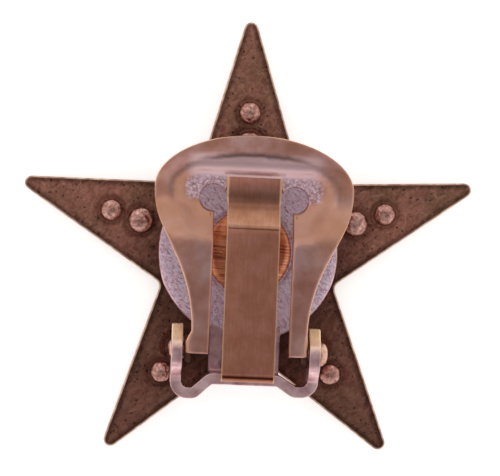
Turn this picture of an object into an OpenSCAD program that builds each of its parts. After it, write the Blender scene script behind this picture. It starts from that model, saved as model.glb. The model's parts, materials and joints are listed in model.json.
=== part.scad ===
// Star-shaped clip-on earring, lying face down with its clip upwards.
// X runs across the star, Y towards its top tip, and Z up from the surface it lies on.
// The origin is the middle of the whole outline, level with the tops of the front stud heads.

/* [Star plate] */
// Distance from the star's centre to the end of each arm
star_r = 15; // [12.5:0.5:20]
// Distance from the star's centre to each inner corner
notch_r = 5.8; // [5.2:0.1:7]
// Thickness of the plate
plate_t = 1; // [0.8:0.1:1.6]
// Rounding radius of the arm ends
tip_round = 0.45; // [0.2:0.05:0.8]
// Rounding radius of the inner corners
notch_round = 0.5; // [0.2:0.05:1]

/* [Studs] */
// Distance from the star's centre to the inner studs
inner_ring_r = 7.2; // [7.1:0.1:7.6]
// Distance from the inner studs to the outer studs along each arm
stud_pitch = 2; // [2:0.1:2.6]
// Radius of the inner studs' front heads
inner_head_r = 1.1; // [0.8:0.05:1.1]
// Radius of the outer studs' front heads
outer_head_r = 0.85; // [0.6:0.05:0.85]
// Height of the front heads
head_h = 0.6; // [0.4:0.05:0.9]
// Radius of the inner studs' peened tails
inner_tail_r = 0.9; // [0.7:0.05:0.95]
// Radius of the outer studs' peened tails
outer_tail_r = 0.77; // [0.6:0.05:0.85]
// Height of the peened tails above the plate's back
tail_h = 0.5; // [0.3:0.05:0.6]
// Depth of the countersink that each tail sits in
sink_depth = 0.3; // [0.15:0.05:0.5]
// Gap between a tail and the wall of its countersink
sink_gap = 0.28; // [0.2:0.02:0.35]
// Radius of the stud shanks
stud_shank_r = 0.5; // [0.35:0.05:0.6]

/* [Clip placement] */
// How far the clip leans to the right of the star's upright, in degrees
clip_lean = 1.5; // [0:0.1:3]
// How far the clip's disc sits above the star's centre
disc_rise = 0.33; // [0:0.03:0.33]

/* [Clip base] */
// Thickness of the solder between the star and the clip
solder_t = 0.1; // [0.05:0.05:0.2]
// Thickness of the base's sheet
base_t = 0.7; // [0.5:0.05:0.8]
// Radius of the base disc
disc_r = 5.75; // [5.2:0.05:5.8]
// Radius of the raised boss in the disc's middle
boss_r = 2.7; // [2:0.1:3.5]
// Height of the boss above the disc
boss_h = 0.45; // [0.3:0.05:0.5]
// Radius of the flat on the boss's top
boss_flat_r = 1.2; // [0.6:0.1:1.6]
// Width of the neck that joins the disc to the bracket
neck_w = 4.5; // [3:0.1:4.6]
// Height of the crossbar's top edge above the disc's underside
crossbar_h = 2.9; // [2.6:0.1:3]
// Depth by which the two lobes bow out below the crossbar
lobe_drop = 0.65; // [0.3:0.05:0.9]
// How much further the left lobe dips
lobe_extra = 0.3; // [0:0.05:0.4]
// Gap between the paddle's round flanges and the crossbar
crossbar_gap = 0.55; // [0.4:0.05:0.8]
// Gap between the lobes' lower edge and the stud tails under them
stud_gap = 0.35; // [0.2:0.05:0.5]
// How far the ears reach up past the hinge axis
ear_reach = 1.57; // [1.2:0.01:1.8]
// Metal left around the hinge hole in each ear
ear_wall = 0.5; // [0.35:0.05:0.7]

/* [Hinge] */
// Distance from the disc's centre down to the hinge axis
hinge_run = 6.26; // [6.2:0.02:7]
// Height of the hinge axis above the disc's underside
hinge_h = 3.1; // [2.9:0.1:3.4]
// Radius of the hinge rivets' shanks
hinge_pin_r = 0.4; // [0.3:0.05:0.45]
// Running clearance around the shanks, on the radius
hinge_clearance = 0.05; // [0.02:0.01:0.1]
// Radius of the right rivet's domed head
hinge_head_r = 0.74; // [0.6:0.02:0.8]
// Height of the right rivet's domed head
hinge_head_h = 0.5; // [0.3:0.05:0.7]
// Height of the left rivet's peened head
peen_h = 0.13; // [0.1:0.01:0.3]
// Gap between each ear and the flange beside it
ear_gap = 0.08; // [0.05:0.01:0.12]
// Thickness of the flanges
flange_t = 0.45; // [0.35:0.05:0.5]
// Metal left around the hinge hole in each flange
flange_wall = 0.45; // [0.3:0.05:0.5]

/* [Paddle] */
// Widest width of the paddle
paddle_w = 12.6; // [10.5:0.1:15.2]
// Distance from the hinge axis to the paddle's top edge
paddle_len = 13.6; // [12:0.05:16.2]
// Thickness of the paddle's sheet
paddle_t = 0.5; // [0.4:0.05:0.6]
// Width across the outer edges of the two legs
leg_span = 7.25; // [6.9:0.05:7.4]
// How far each leg widens out to its flange
leg_flare = 0.26; // [0.1:0.02:0.4]
// Height of the legs' ends above the hinge axis
leg_rise = 0.45; // [0.3:0.05:0.5]
// Distance from the hinge axis to where the legs slope down to the head
leg_run = 7.1; // [6.6:0.05:7.4]
// Depth of the paddle's head below the hinge axis
head_drop = 0.85; // [0.5:0.05:1]
// Distance from the paddle's top edge down to its widest place
wide_drop = 3.45; // [3.2:0.05:3.8]
// Distance from the paddle's top edge down to the middles of the slots' round ends
slot_drop = 4; // [3.8:0.05:4.2]
// How far the paddle and its tongue sit to the right of the hinge's middle
paddle_shift = 0.15; // [0:0.05:0.2]
// Width of the window between the two legs
window_w = 4.96; // [4.4:0.02:5.2]
// Width of the raised rim around the paddle's head
rim_w = 2.3; // [1.4:0.1:2.6]
// Height of the raised rim above the sunk middle
rim_h = 0.45; // [0.3:0.05:0.6]
// Radius of the round ends of the two slots
slot_end_r = 0.83; // [0.5:0.02:1]

/* [Spring tongue] */
// Width of the tongue
tongue_w = 3.32; // [2.4:0.02:3.6]
// Thickness of the tongue
tongue_t = 0.45; // [0.35:0.05:0.55]
// Distance from the hinge axis up to the crease where the tongue flexes
crease_run = 7.75; // [7:0.05:8.2]
// Height of the crease above the hinge axis
crease_rise = 0.4; // [0.35:0.05:0.6]
// Height of the tongue's lower end above the hinge axis
tongue_rise = 1.1; // [1.1:0.05:1.4]
// Radius of the curl at the tongue's lower end
curl_r = 0.4; // [0.3:0.05:0.5]
// Length of the straight lip below the curl
curl_lip = 0.15; // [0:0.05:0.2]
// Gap around the tongue's round nose at the crease
crease_clearance = 0.05; // [0.03:0.01:0.1]

/* [Hidden] */
arms = 5;
arm_step = 360 / arms;
top_angle = 90;
eps = 0.01;
reach = 40;
$fn = 64;

// The outline's top is star_r above the star's centre and its bottom is the end of the two lower arms.
star_bottom = (star_r - tip_round) * cos(arm_step / 2) + tip_round;
star_y = (star_bottom - star_r) / 2;
disc_y = star_y + disc_rise;

plate_z = head_h;
plate_top = plate_z + plate_t;
base_z = plate_top + solder_t;
outer_ring_r = inner_ring_r + stud_pitch;

hinge_y = disc_y - hinge_run;
hinge_z = base_z + hinge_h;
pin_hole_r = hinge_pin_r + hinge_clearance;
flange_r = pin_hole_r + flange_wall;
flange_x = leg_span / 2 + leg_flare;
ear_x = flange_x + ear_gap + base_t / 2;
ear_top_r = pin_hole_r + ear_wall;

// The crossbar stands just below the hinge, clear of the paddle's round flanges.
crossbar_y = hinge_y - flange_r - crossbar_gap - base_t / 2;
crossbar_top = base_z + crossbar_h;
bracket_low = plate_top + tail_h + stud_gap;

paddle_top_y = hinge_y + paddle_len;
paddle_low_y = hinge_y - flange_r / 4;
wide_y = paddle_top_y - wide_drop;
slot_y = paddle_top_y - slot_drop;
ramp_foot_y = slot_y - 0.3;
slot_end_x = window_w / 2 + 0.1;
leg_z = hinge_z + leg_rise;
head_z = hinge_z - head_drop;

// The tongue's root leaves the sunk middle just above the two slot ends.
root_y = slot_y + slot_end_r + 0.26;
crease_y = hinge_y + crease_run;
crease_z = hinge_z + crease_rise;
tongue_end_y = crossbar_y - base_t / 2 + 0.25;
tongue_end_z = hinge_z + tongue_rise;

function inner_names() = [for (i = [1:arms]) str("inner_stud_", i)];
function outer_names() = [for (i = [1:arms]) str("outer_stud_", i)];

copper_dark = "#5a4036";
copper_warm = "#8a6558";
copper_bright = "#b08672";
solder_grey = "#8d8a88";

function unit(v) = v / norm(v);
function heading(angle) = [cos(angle), sin(angle)];

// The arc that rounds corner p between its neighbours a and b, as a short list of points.
function corner_arc(a, p, b, r, steps) =
    let (
        u = unit(a - p),
        v = unit(b - p),
        half = acos(u * v) / 2,
        centre = p + unit(u + v) * r / sin(half),
        from = p + u * r / tan(half) - centre,
        to = p + v * r / tan(half) - centre,
        start = atan2(from[1], from[0]),
        turn = atan2(from[0] * to[1] - from[1] * to[0], from * to)
    )
    r <= 0 ? [p] : [for (i = [0:steps]) centre + r * heading(start + turn * i / steps)];

// A closed outline with every corner rounded by its own radius.
function rounded_loop(points, radii, steps = 6) =
    let (n = len(points))
    [
        for (i = [0:n - 1])
            each corner_arc(points[(i + n - 1) % n], points[i], points[(i + 1) % n], radii[i], steps)
    ];

// An open path with every corner between its two ends rounded by its own radius.
function rounded_path(points, radii, steps = 6) =
    let (last = len(points) - 1)
    concat(
        [points[0]],
        [
            for (i = [1:last - 1])
                each corner_arc(points[i - 1], points[i], points[i + 1], radii[i - 1], steps)
        ],
        [points[last]]
    );

// The direction across a path at point i, square to it.
function across(path, i) =
    let (
        last = len(path) - 1,
        along = unit(path[min(i + 1, last)] - path[max(i - 1, 0)])
    )
    [-along[1], along[0]];

// A strip of sheet of thickness t whose middle follows the path.
function ribbon(path, t) = concat(
    [for (i = [0:len(path) - 1]) path[i] + across(path, i) * t / 2],
    [for (i = [len(path) - 1:-1:0]) path[i] - across(path, i) * t / 2]
);

// Extrudes an outline drawn in (y, z) along X, centred, to the given width.
module along_x(width) {
    rotate([90, 0, 90]) translate([0, 0, -width / 2]) linear_extrude(width) children();
}

// A cylinder along X from x0 to x1.
module rod_x(r, x0, x1) {
    translate([x0, 0, 0]) rotate([0, 90, 0]) cylinder(r = r, h = x1 - x0);
}

// A dome with a flat base of radius r, at z = 0, and height h.
module dome(r, h) {
    ball_r = (r * r + h * h) / (2 * h);
    intersection() {
        translate([0, 0, h - ball_r]) sphere(r = ball_r, $fn = 96);
        cylinder(r = r + eps, h = h + eps);
    }
}

// Puts a piece that is drawn square onto the leaning clip.
module on_clip() {
    translate([0, disc_y, 0]) rotate(-clip_lean) translate([0, -disc_y, 0]) children();
}

module on_arm(number, distance) {
    turn = top_angle + arm_step * (number - 1);
    translate([0, star_y, 0]) rotate(turn) translate([distance, 0, 0]) children();
}

// Half the angle of an arm whose sharp corner would be this far from the centre.
function tip_half(sharp_r) = atan2(notch_r * sin(arm_step / 2), sharp_r - notch_r * cos(arm_step / 2));

// How far out the sharp corners are, so that the rounded tips reach star_r. Each turn comes closer.
function sharp_point(guess, turns) =
    turns == 0 ? guess : sharp_point(star_r + tip_round * (1 / sin(tip_half(guess)) - 1), turns - 1);

function star_outline() =
    let (sharp_r = sharp_point(star_r, 6))
    rounded_loop(
        [for (i = [0:2 * arms - 1]) (i % 2 == 0 ? sharp_r : notch_r) * heading(top_angle + i * arm_step / 2)],
        [for (i = [0:2 * arms - 1]) i % 2 == 0 ? tip_round : notch_round]
    );

// The star: a flat plate with a shank hole and a round countersink in its back for every stud.
module star_plate() {
    color(copper_dark) difference() {
        translate([0, star_y, plate_z]) linear_extrude(plate_t) polygon(star_outline());
        for (i = [1:arms]) {
            on_arm(i, inner_ring_r) stud_hole(inner_tail_r);
            on_arm(i, outer_ring_r) stud_hole(outer_tail_r);
        }
    }
}

module stud_hole(tail_r) {
    translate([0, 0, plate_z - 1]) cylinder(r = stud_shank_r, h = plate_t + 2);
    translate([0, 0, plate_top - sink_depth]) cylinder(r = tail_r + sink_gap, h = sink_depth + 1);
}

// A stud: a domed head in front, a shank through the plate and a tail peened over at the back.
module stud(head_r, tail_r) {
    color(copper_warm) {
        translate([0, 0, head_h]) mirror([0, 0, 1]) dome(head_r, head_h);
        translate([0, 0, plate_z - eps]) cylinder(r = stud_shank_r, h = plate_t - sink_depth + 2 * eps);
        translate([0, 0, plate_top - sink_depth]) dome(tail_r, tail_h + sink_depth);
    }
}

// The solder that holds the clip's disc on the star's back.
module solder_layer() {
    color(solder_grey) on_clip() translate([0, disc_y, plate_top]) cylinder(r = disc_r - 0.35, h = solder_t);
}

// Half of the disc's section: flat underside, rounded shoulder, groove and raised boss.
function disc_section() =
    let (
        edge_h = base_t * 0.55,
        shoulder_w = 0.65,
        groove_w = 0.3,
        groove_depth = 0.1,
        boss_top = base_t + boss_h
    )
    rounded_loop(
        [
            [0, 0], [disc_r, 0], [disc_r, edge_h], [disc_r - shoulder_w, base_t],
            [boss_r + groove_w, base_t], [boss_r + groove_w / 3, base_t - groove_depth], [boss_r, base_t],
            [boss_r - groove_w, base_t + boss_h * 0.62], [boss_flat_r, boss_top], [0, boss_top]
        ],
        [0, 0, 0.15, 0.4, 0, 0, 0, 0.4, 0, 0], 4
    );

// The middle line of the bracket seen from above: ear, lobe, crossbar, lobe, ear.
function bracket_path() =
    let (
        start_y = hinge_y + ear_reach - 0.6,
        low_y = crossbar_y - lobe_drop,
        left_low_y = low_y - lobe_extra,
        lobe_x = ear_x - 1.15,
        bar_x = neck_w / 2 - 0.1
    )
    rounded_path(
        [
            [-ear_x, start_y], [-ear_x, left_low_y], [-lobe_x, left_low_y], [-bar_x, crossbar_y],
            [bar_x, crossbar_y], [lobe_x, low_y], [ear_x, low_y], [ear_x, start_y]
        ],
        [0.75, 0.45, 0.55, 0.55, 0.45, 0.75]
    );

// The side view of one ear: rounded over the hinge, sloping down to its free end.
function ear_side() =
    let (
        free_y = hinge_y + ear_reach,
        top_z = hinge_z + ear_top_r
    )
    rounded_loop(
        [
            [free_y, bracket_low], [free_y, bracket_low + 0.9],
            [hinge_y + ear_top_r * 0.8, top_z], [hinge_y - ear_top_r, top_z],
            [crossbar_y, crossbar_top - 0.1], [crossbar_y, bracket_low]
        ],
        [0, 0.3, 0.8, 0.7, 0, 0]
    );

// The clip's base: one stamping with the disc, its boss, the neck, the crossbar and the two ears.
module clip_base() {
    neck_y = disc_y - boss_r - 1;
    neck_z = base_z + base_t / 2;
    color(copper_bright) on_clip() difference() {
        union() {
            translate([0, disc_y, base_z]) rotate_extrude($fn = 96) polygon(disc_section());
            along_x(neck_w) polygon(ribbon(
                rounded_path([[neck_y, neck_z], [crossbar_y, neck_z], [crossbar_y, crossbar_top]], [0.6]),
                base_t
            ));
            translate([0, 0, bracket_low]) linear_extrude(crossbar_top - bracket_low)
                polygon(ribbon(bracket_path(), base_t));
            for (side = [-1, 1]) translate([side * ear_x, 0, 0]) along_x(base_t) polygon(ear_side());
        }
        translate([0, hinge_y, hinge_z]) rod_x(hinge_pin_r, -ear_x - 1, ear_x + 1);
    }
}

// A hinge rivet: a shank fast in one ear, with its head outside and its free end in the paddle's flange.
module hinge_rivet(head_r, head_h) {
    translate([0, hinge_y, hinge_z]) {
        rod_x(hinge_pin_r, flange_x - flange_t, ear_x + base_t / 2 + eps);
        translate([ear_x + base_t / 2, 0, 0]) rotate([0, 90, 0]) dome(head_r, head_h);
    }
}

module hinge_rivet_right() {
    color(copper_bright) on_clip() hinge_rivet(hinge_head_r, hinge_head_h);
}

module hinge_rivet_left() {
    color(copper_bright) on_clip() mirror([1, 0, 0]) hinge_rivet(hinge_pin_r * 1.3, peen_h);
}

// One side of the paddle seen from above, from its widest place down to the end of its flange.
function paddle_side(flange_edge) =
    let (leg_x = leg_span / 2)
    rounded_path(
        [
            [paddle_w / 2, wide_y], [paddle_w / 2, wide_y - 1.25], [leg_x + 0.07, hinge_y + 3.63],
            [leg_x, hinge_y + 1.2], [flange_edge, hinge_y + 0.4], [flange_edge, paddle_low_y]
        ],
        [5.3, 10, 0, 0], 8
    );

// The paddle seen from above: an oval head that narrows to two parallel legs.
function paddle_outline() =
    let (
        right = paddle_side(flange_x - paddle_shift),
        left = paddle_side(flange_x + paddle_shift)
    )
    concat(
        [for (t = [7.5:7.5:172.5]) [paddle_w / 2 * cos(t), wide_y + wide_drop * sin(t)]],
        [for (p = left) [-p[0], p[1]]],
        [for (i = [len(right) - 1:-1:0]) right[i]]
    );

// The sunk middle of the paddle's head, inside the raised rim.
function recess_outline() =
    let (
        wide_x = paddle_w / 2 - rim_w + 0.15,
        top_y = paddle_top_y - rim_w - 0.35,
        low_y = hinge_y + leg_run + 0.1,
        right = [[wide_x, top_y], [wide_x, slot_y - 0.6], [window_w / 2 - 0.1, low_y]],
        radii = [1.3, 1.2, 0]
    )
    rounded_loop(
        concat(right, [for (i = [2:-1:0]) [-right[i][0], right[i][1]]]),
        concat(radii, [for (i = [2:-1:0]) radii[i]])
    );

// The middle line of the paddle's sheet seen from the side, hinge end first.
function paddle_path() = rounded_path(
    [
        [paddle_low_y - 1, leg_z], [hinge_y + leg_run, leg_z - 0.05],
        [ramp_foot_y, head_z], [paddle_top_y + 1, head_z - 0.2]
    ],
    [2, 1.5]
);

module paddle_layer(low, high) {
    intersection() {
        along_x(reach) translate([0, (low + high) / 2]) polygon(ribbon(paddle_path(), high - low));
        linear_extrude(reach) children();
    }
}

// The root of the tongue: flat between the slot ends, then a ramp up to the crease.
module tongue_root() {
    start_z = head_z - 0.03;
    difference() {
        along_x(tongue_w) polygon(ribbon(
            rounded_path([[root_y + 0.6, start_z], [ramp_foot_y, start_z], [crease_y, crease_z]], [1]),
            tongue_t
        ));
        translate([0, crease_y, crease_z]) rod_x(tongue_t / 2 + crease_clearance, -reach, reach);
    }
}

// The paddle: a stamped sheet with a raised rim, two legs with hinge flanges and the tongue's root.
module paddle() {
    half = paddle_t / 2;
    color(copper_warm) on_clip() difference() {
        union() {
            translate([paddle_shift, 0, 0]) difference() {
                union() {
                    paddle_layer(-half, half) polygon(paddle_outline());
                    paddle_layer(0, half + rim_h) difference() {
                        polygon(paddle_outline());
                        polygon(recess_outline());
                    }
                }
                translate([-window_w / 2, hinge_y - 2, 0]) cube([window_w, slot_y - hinge_y + 2, reach]);
                translate([-tongue_w / 2, hinge_y, 0]) cube([tongue_w, root_y - 0.35 - hinge_y, reach]);
                for (side = [-1, 1])
                    translate([side * slot_end_x, slot_y, 0]) cylinder(r = slot_end_r, h = reach);
            }
            translate([paddle_shift, 0, 0]) tongue_root();
            for (side = [-1, 1]) translate([side * (flange_x - flange_t / 2), 0, 0]) leg_flange();
        }
        for (side = [-1, 1]) translate([side * (flange_x - flange_t / 2), hinge_y, hinge_z])
            rod_x(pin_hole_r, -flange_t, flange_t);
    }
}

// One flange: a round tab that hangs from the end of a leg around the hinge axis.
module leg_flange() {
    translate([0, hinge_y, hinge_z]) rod_x(flange_r, -flange_t / 2, flange_t / 2);
    translate([-flange_t / 2, paddle_low_y, hinge_z]) cube([flange_t, 1, leg_rise]);
}

// The spring tongue: a strip from the crease down over the crossbar, with its end curled under.
module spring_tongue() {
    lip_y = tongue_end_y + tongue_t / 2;
    lip_z = tongue_end_z - curl_r - tongue_t / 2 - curl_lip;
    color(copper_warm) on_clip() translate([paddle_shift, 0, 0]) {
        translate([0, crease_y, crease_z]) rod_x(tongue_t / 2, -tongue_w / 2, tongue_w / 2);
        along_x(tongue_w) polygon(ribbon(
            rounded_path([[crease_y, crease_z], [lip_y, tongue_end_z], [lip_y, lip_z]], [curl_r]),
            tongue_t
        ));
    }
}

star_plate();
for (i = [1:arms]) on_arm(i, inner_ring_r) stud(inner_head_r, inner_tail_r);
for (i = [1:arms]) on_arm(i, outer_ring_r) stud(outer_head_r, outer_tail_r);
solder_layer();
clip_base();
hinge_rivet_left();
hinge_rivet_right();
paddle();
spring_tongue();
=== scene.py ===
import bpy
import bmesh
import json
import math
from mathutils import Matrix, Vector


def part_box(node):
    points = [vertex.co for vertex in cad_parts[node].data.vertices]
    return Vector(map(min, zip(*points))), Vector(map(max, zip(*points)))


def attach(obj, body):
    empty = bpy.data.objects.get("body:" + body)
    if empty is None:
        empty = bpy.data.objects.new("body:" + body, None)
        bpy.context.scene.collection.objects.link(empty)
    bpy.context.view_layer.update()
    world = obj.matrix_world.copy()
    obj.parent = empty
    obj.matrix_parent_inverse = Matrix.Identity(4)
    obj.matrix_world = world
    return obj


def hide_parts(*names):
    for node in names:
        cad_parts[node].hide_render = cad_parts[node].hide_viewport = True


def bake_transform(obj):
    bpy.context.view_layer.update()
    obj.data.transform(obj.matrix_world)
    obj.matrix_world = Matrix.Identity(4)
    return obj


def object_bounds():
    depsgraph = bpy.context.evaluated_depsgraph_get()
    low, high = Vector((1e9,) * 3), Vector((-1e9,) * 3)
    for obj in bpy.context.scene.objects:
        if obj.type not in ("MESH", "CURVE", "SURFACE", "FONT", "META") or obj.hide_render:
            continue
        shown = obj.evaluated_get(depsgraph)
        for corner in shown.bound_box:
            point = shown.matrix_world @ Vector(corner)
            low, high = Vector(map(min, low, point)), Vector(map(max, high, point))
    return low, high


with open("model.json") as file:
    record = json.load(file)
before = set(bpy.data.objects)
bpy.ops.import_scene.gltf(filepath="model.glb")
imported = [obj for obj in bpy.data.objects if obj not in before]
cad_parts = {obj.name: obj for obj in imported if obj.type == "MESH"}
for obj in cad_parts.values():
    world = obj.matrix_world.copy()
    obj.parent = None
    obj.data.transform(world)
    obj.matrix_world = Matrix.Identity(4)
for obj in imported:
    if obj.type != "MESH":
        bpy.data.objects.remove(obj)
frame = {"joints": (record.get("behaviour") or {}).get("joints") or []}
cad_low, cad_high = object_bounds()

# ---------------------------------------------------------------- Studio
# A white light tent seen from straight above: a plain pale floor, soft light from all sides, a darker
# opening overhead that flat polished metal reflects, and one soft lamp high up behind the object.
MM = 0.001
ROOM_SIZE = 1.2
CAMERA_DISTANCE = 175 * MM
VIEW_WIDTH = 31.95 * MM
SENSOR = 36
TILT = math.radians(2.5)
ROLL = math.radians(1.0)
LAMP_SIDE = (-0.22, 0.42, 0.88)
AIM = (0.13, 1.20)


def linear(code):
    """An sRGB hex colour as the linear RGBA that the shaders take."""
    parts = [int(code[i:i + 2], 16) / 255 for i in (1, 3, 5)]
    return [c / 12.92 if c <= 0.04045 else ((c + 0.055) / 1.055) ** 2.4 for c in parts] + [1.0]


def add_node(owner, kind, inputs=None, stops=None, **settings):
    """Adds one node with its settings, its input values or links, and a ramp's stops."""
    node = owner.node_tree.nodes.new(kind)
    for name, value in settings.items():
        setattr(node, name, value)
    for name, value in (inputs or {}).items():
        if isinstance(value, bpy.types.NodeSocket):
            owner.node_tree.links.new(value, node.inputs[name])
        else:
            node.inputs[name].default_value = value
    if stops:
        elements = node.color_ramp.elements
        while len(elements) < len(stops):
            elements.new(1.0)
        for element, (place, shade) in zip(elements, stops):
            element.position = place
            element.color = linear(shade) if isinstance(shade, str) else (shade, shade, shade, 1.0)
    return node


def new_material(name):
    """An empty node material, ready for its nodes."""
    material = bpy.data.materials.new(name)
    material.use_nodes = True
    material.node_tree.nodes.clear()
    return material


world = bpy.data.worlds.new("light tent")
bpy.context.scene.world = world
world.use_nodes = True
world.node_tree.nodes.clear()
direction = add_node(world, "ShaderNodeTexCoord")
split = add_node(world, "ShaderNodeSeparateXYZ", {0: direction.outputs["Generated"]})
tent = add_node(world, "ShaderNodeValToRGB", {0: split.outputs["Z"]}, stops=[
    (0.0, 0.62), (0.25, 0.84), (0.50, 0.98), (0.70, 0.84), (0.86, 0.60), (0.95, 0.43), (1.0, 0.345)])
toward_lamp = add_node(world, "ShaderNodeVectorMath", {
    0: direction.outputs["Generated"], 1: LAMP_SIDE}, operation="DOT_PRODUCT")
softbox = add_node(world, "ShaderNodeValToRGB", {0: toward_lamp.outputs["Value"]},
                   stops=[(0.94, 0.0), (0.985, 0.55)])
tent_light = add_node(world, "ShaderNodeVectorMath", {0: tent.outputs[0], 1: softbox.outputs[0]},
                      operation="ADD")
sky = add_node(world, "ShaderNodeBackground", {"Color": tent_light.outputs[0], "Strength": 1.0})
add_node(world, "ShaderNodeOutputWorld", {"Surface": sky.outputs[0]})

bpy.ops.mesh.primitive_plane_add(size=ROOM_SIZE, location=(0, 0, cad_low.z))
floor = bpy.context.object
floor.name = "floor"
white_board = new_material("matt white board")
board_grain = add_node(white_board, "ShaderNodeTexNoise", {"Scale": 40.0})
board_tint = add_node(white_board, "ShaderNodeValToRGB", {0: board_grain.outputs[0]},
                      stops=[(0.3, "#f6f5f3"), (0.7, "#fbfaf9")])
board = add_node(white_board, "ShaderNodeBsdfPrincipled", {
    "Base Color": board_tint.outputs[0], "Roughness": 0.9,
    "Emission Color": linear("#ffffff"), "Emission Strength": 0.52})
add_node(white_board, "ShaderNodeOutputMaterial", {"Surface": board.outputs[0]})
floor.data.materials.append(white_board)

star_low, star_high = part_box("star_plate")
STAR_R = 15
star_centre = Vector((0, star_high.y - STAR_R * MM, 0))
target = star_centre + Vector((AIM[0] * MM, AIM[1] * MM, star_high.z))
back = Vector((-math.sin(TILT), 0, math.cos(TILT)))
right = Vector((math.cos(TILT), 0, math.sin(TILT)))
up = Vector((0, 1, 0))
turned_right = right * math.cos(ROLL) + up * math.sin(ROLL)
turned_up = up * math.cos(ROLL) - right * math.sin(ROLL)
bpy.ops.object.camera_add()
camera = bpy.context.object
camera.matrix_world = Matrix.LocRotScale(
    target + back * CAMERA_DISTANCE,
    Matrix((turned_right, turned_up, back)).transposed(),
    None)
camera.data.sensor_width = SENSOR
camera.data.lens = SENSOR * CAMERA_DISTANCE / VIEW_WIDTH
camera.data.clip_start = 0.01
camera.data.clip_end = 10
bpy.context.scene.camera = camera
bpy.context.scene.view_settings.view_transform = "Standard"

# ------------------------------------------------------------ Star plate
# The five-pointed plate is the body of the earring: thick copper sheet, cut out, darkened and wiped
# back, so its edges are worn bare. A round hollow holds each stud's peened tail. Sizes are in mm.
NOTCH_R = 5.8
TIP_ROUND = 0.45
NOTCH_ROUND = 0.5
RIM_WEAR = 0.11
INNER_RING = 7.2
OUTER_RING = 9.2
plate_low, plate_top = star_low.z / MM, star_high.z / MM
star_frame = Matrix.Translation(star_centre / MM)


def millimetres(material, origin, turn=0.0):
    """Object coordinates in mm, centred on a point in mm and turned about Z, as a socket."""
    moved = Matrix.Rotation(turn, 3, "Z") @ Vector(origin)
    place = add_node(material, "ShaderNodeTexCoord")
    mapping = add_node(material, "ShaderNodeMapping", {
        "Vector": place.outputs["Object"], "Location": tuple(-moved),
        "Rotation": (0, 0, turn), "Scale": (1 / MM, 1 / MM, 1 / MM)})
    return mapping.outputs[0]


def stretched(material, points, turn, shape):
    """The same coordinates turned and stretched, for marks that run one way."""
    spun = add_node(material, "ShaderNodeMapping", {"Vector": points, "Rotation": (0, 0, turn)})
    return add_node(material, "ShaderNodeMapping", {"Vector": spun.outputs[0], "Scale": shape}).outputs[0]


def bare_metal(material, colour, roughness, relief, depth, metallic=1.0):
    """Joins colour, roughness and relief to a metal surface; depth is the relief's height in mm."""
    bump = add_node(material, "ShaderNodeBump", {"Height": relief, "Strength": 1.0, "Distance": depth * MM})
    surface = add_node(material, "ShaderNodeBsdfPrincipled", {
        "Base Color": colour, "Metallic": metallic, "Roughness": roughness, "Normal": bump.outputs[0]})
    add_node(material, "ShaderNodeOutputMaterial", {"Surface": surface.outputs[0]})
    return material


def mixed(material, kind, amount, first, second):
    """Two colours or grey values mixed: 'MIX', 'MULTIPLY', 'ADD' and so on."""
    node = add_node(material, "ShaderNodeMix", {0: amount}, data_type="RGBA", blend_type=kind)
    for socket, value in ((node.inputs[6], first), (node.inputs[7], second)):
        if isinstance(value, bpy.types.NodeSocket):
            material.node_tree.links.new(value, socket)
        else:
            socket.default_value = value
    return node.outputs[2]


def edit(piece):
    """Leaves everything else unselected and opens this piece's mesh."""
    bpy.ops.object.select_all(action="DESELECT")
    bpy.context.view_layer.objects.active = piece
    piece.select_set(True)
    bpy.ops.object.mode_set(mode="EDIT")


def leave():
    bpy.ops.object.mode_set(mode="OBJECT")


def pick(piece, kind, chosen):
    """In edit mode, selects the vertices, edges or faces that pass the test."""
    bpy.ops.mesh.select_mode(type=kind)
    bpy.ops.mesh.select_all(action="DESELECT")
    mesh = bmesh.from_edit_mesh(piece.data)
    for part in {"VERT": mesh.verts, "EDGE": mesh.edges, "FACE": mesh.faces}[kind]:
        if chosen(part):
            part.select_set(True)
    mesh.select_flush_mode()
    bmesh.update_edit_mesh(piece.data)


def turned(name, stations, sides=40):
    """A solid turned about Z: a disc at the first (radius, height), drawn on through the others."""
    r, z = stations[0]
    bpy.ops.mesh.primitive_circle_add(vertices=sides, radius=r, location=(0, 0, z), fill_type="NGON")
    piece = bpy.context.object
    piece.name = name
    edit(piece)
    bpy.ops.mesh.select_all(action="SELECT")
    for next_r, next_z in stations[1:]:
        bpy.ops.mesh.extrude_region_move(TRANSFORM_OT_translate={"value": (0, 0, next_z - z)})
        bpy.ops.transform.resize(value=(next_r / r, next_r / r, 1), center_override=(0, 0, next_z))
        r, z = next_r, next_z
    bpy.ops.mesh.select_all(action="SELECT")
    bpy.ops.mesh.normals_make_consistent(inside=False)
    leave()
    place(piece, Matrix.Identity(4))
    return piece


def rounded(points, radii, steps=6, closed=True):
    """Plan points with each corner drawn as an arc of its own radius; None stands for a sharp corner."""
    drawn = []
    for i, (point, radius) in enumerate(zip(points, radii)):
        here = Vector(point)
        if not radius or (not closed and i in (0, len(points) - 1)):
            drawn.append(here)
            continue
        before = (Vector(points[i - 1]) - here).normalized()
        after = (Vector(points[(i + 1) % len(points)]) - here).normalized()
        half = before.angle(after) / 2
        middle = here + (before + after).normalized() * radius / math.sin(half)
        first = here + before * radius / math.tan(half) - middle
        last = here + after * radius / math.tan(half) - middle
        start = math.atan2(first.y, first.x)
        sweep = math.atan2(first.x * last.y - first.y * last.x, first.dot(last))
        angles = [start + sweep * k / steps for k in range(steps + 1)]
        drawn += [middle + radius * Vector((math.cos(a), math.sin(a))) for a in angles]
    return drawn


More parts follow.
